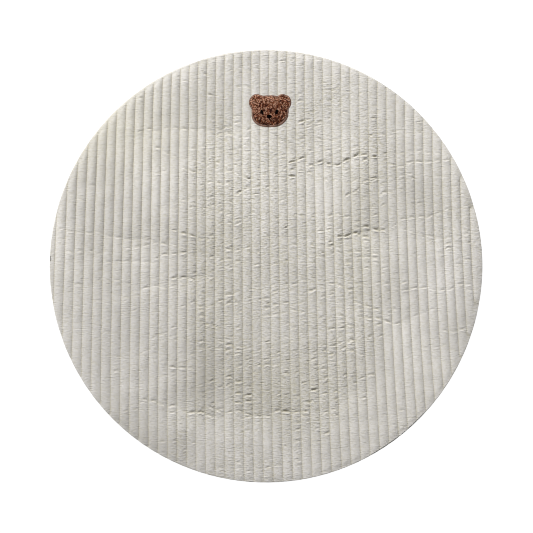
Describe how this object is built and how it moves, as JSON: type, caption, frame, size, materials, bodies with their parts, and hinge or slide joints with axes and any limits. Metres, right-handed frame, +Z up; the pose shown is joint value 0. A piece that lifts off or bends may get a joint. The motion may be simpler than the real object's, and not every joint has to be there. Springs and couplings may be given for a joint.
{
  "type": "round quilted baby play mat",
  "caption": "Round padded floor mat for a baby, quilted in parallel sewn ribs with a turned edge, with a bear's-head patch of looped pile cloth sewn on near the rim.",
  "frame": {"origin": "middle of the flat underside, on the surface that the mat lies on", "axes": "+Z up out of the quilted side, +Y towards the rim nearest the patch, +X to the right as the bear's face is seen upright; the ribs run along Y"},
  "size_m": [1.2, 1.2, 0.0142],
  "materials": {
    "cotton_cover": "matte woven cotton, off-white",
    "brown_pile": "looped pile, brown",
    "black_thread": "satin-stitched thread, black"
  },
  "bodies": {
    "root": {"mat": "cotton_cover", "bear_patch": "brown_pile", "bear_eye_left": "black_thread", "bear_eye_right": "black_thread", "bear_nose": "black_thread"}
  },
  "joints": []
}
